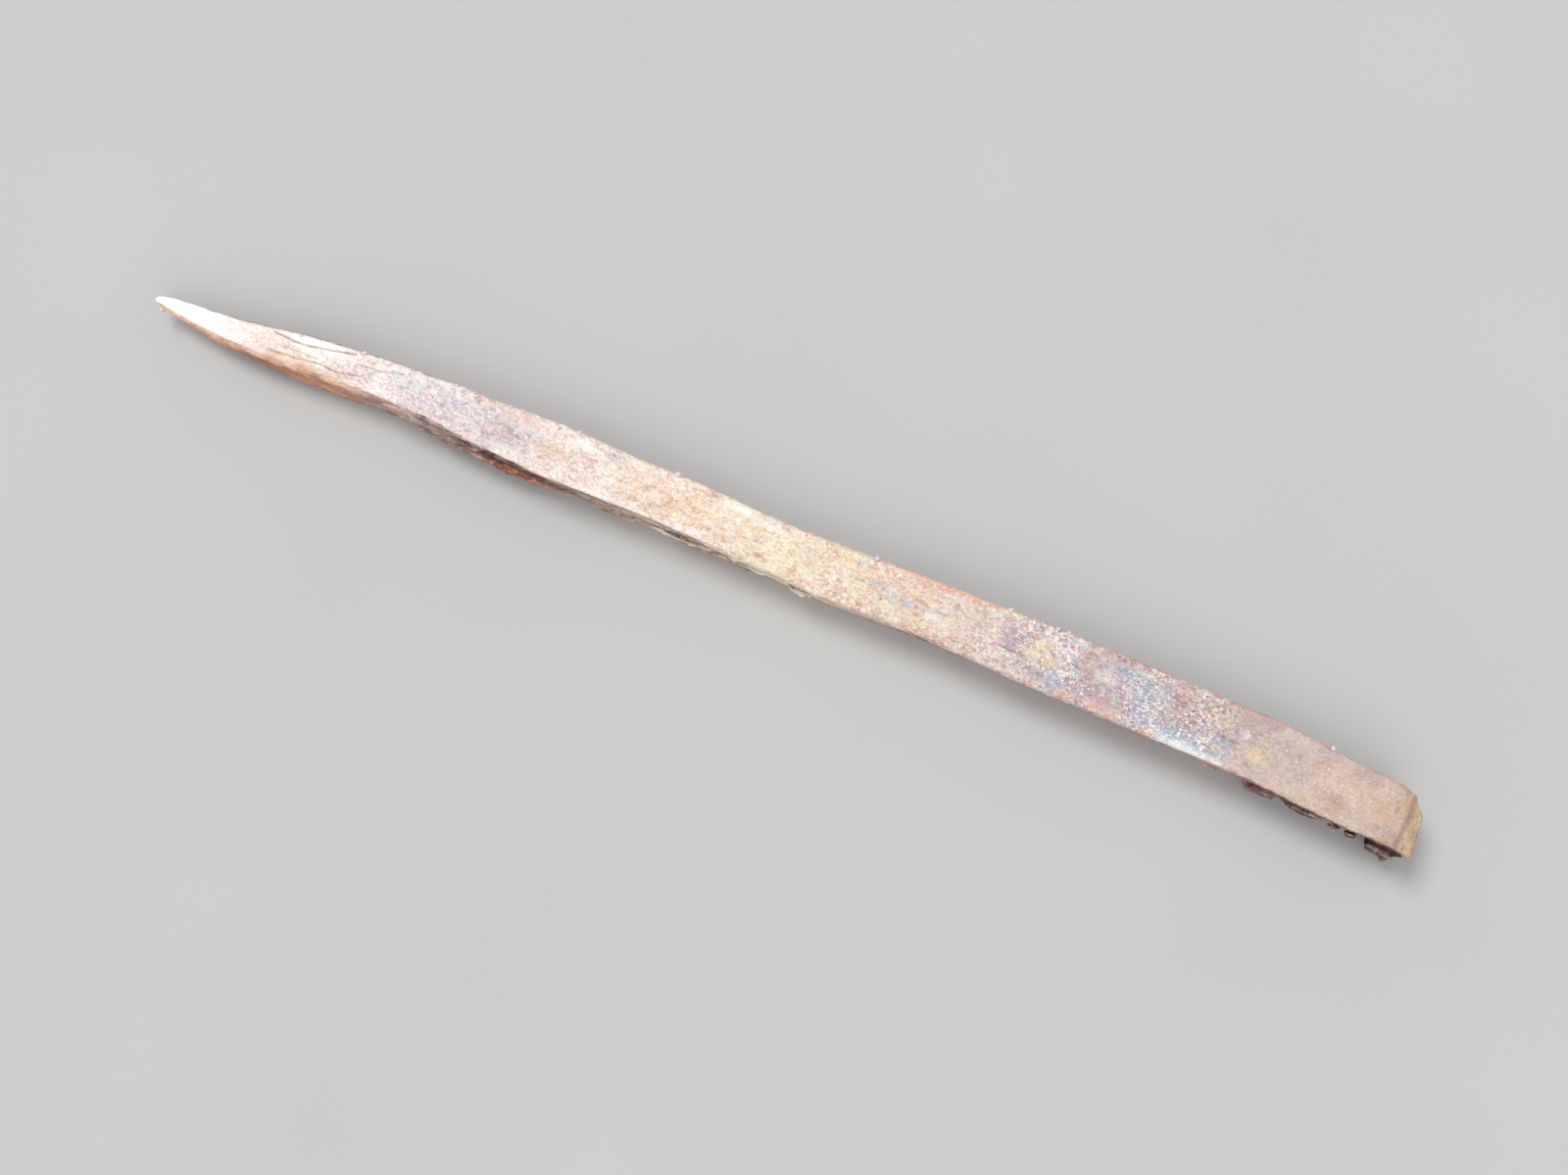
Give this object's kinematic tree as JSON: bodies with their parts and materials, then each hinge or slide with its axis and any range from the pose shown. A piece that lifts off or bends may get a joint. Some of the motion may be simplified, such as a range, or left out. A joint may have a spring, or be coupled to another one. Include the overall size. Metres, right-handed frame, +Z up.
{
  "type": "rail spike",
  "caption": "Plain square driven spike with a drawn point and a hammered, hookless head, rusted, with layered scale lifting from one side.",
  "frame": {"origin": "middle of the foot of the overall box, with the spike lying on one of its flats", "axes": "+X from the drawn point towards the struck head, +Z up, -Y the side that carries the layered scale"},
  "size_m": [0.254, 0.0164, 0.0118],
  "materials": {
    "rusted_iron": "rough granular rust, pale mauve and tan",
    "rust_scale": "rough layered rust scale, brown with orange bloom",
    "grit": "rough pale grit"
  },
  "bodies": {
    "root": {"spike_bar": "rusted_iron", "side_scale_inner": "rust_scale", "side_scale_outer": "rust_scale", "side_scale_thin": "rust_scale", "shank_scale_remnants": "rust_scale", "head_scale_lip": "rust_scale", "head_scale_stack": "rust_scale", "head_scale_slivers": "rust_scale", "head_lifting_flake": "rust_scale", "head_small_flake": "rust_scale", "cemented_grains": "grit"}
  },
  "joints": []
}
